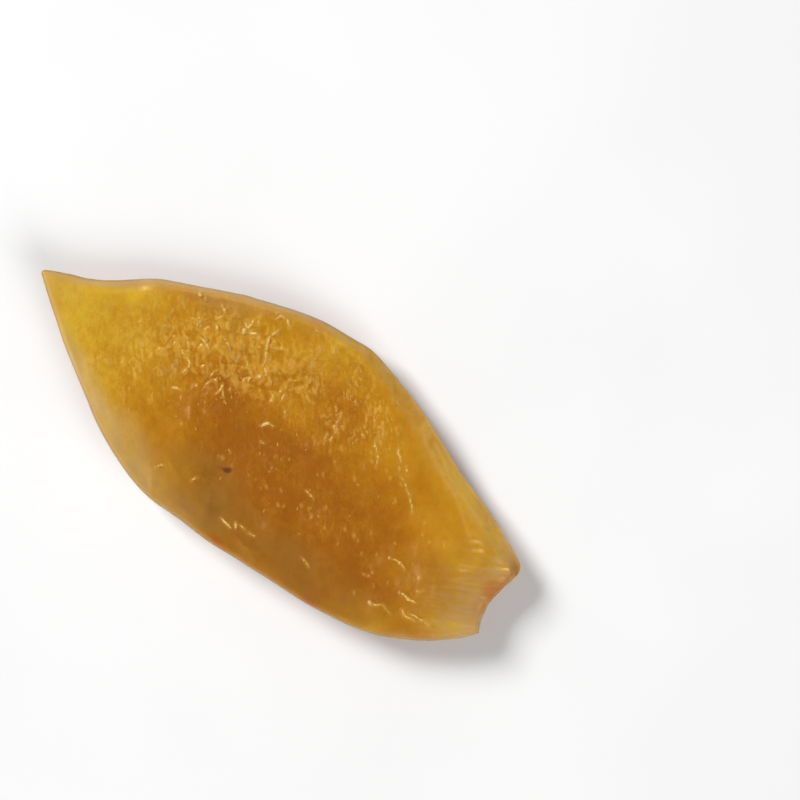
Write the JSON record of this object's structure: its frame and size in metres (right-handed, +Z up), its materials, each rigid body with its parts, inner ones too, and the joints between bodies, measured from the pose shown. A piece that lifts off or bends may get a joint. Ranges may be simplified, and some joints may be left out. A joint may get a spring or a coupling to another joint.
{
  "type": "candied lemon peel",
  "caption": "Long, pointed quarter of candied lemon peel lying pith side up: a shallow cupped slice with sloping cut edges, for eating or baking.",
  "frame": {"origin": "middle of the bounding box's base, on the flat spot that the peel rests on", "axes": "+X along the peel from its pointed end to its trimmed end, +Z up out of the pith's face, +Y across"},
  "size_m": [0.1, 0.0444, 0.0097],
  "materials": {
    "candied_peel": "translucent amber candied pith and orange-yellow zest with a thin gloss of dried syrup"
  },
  "bodies": {
    "root": {"lemon_peel": "candied_peel"}
  },
  "joints": []
}
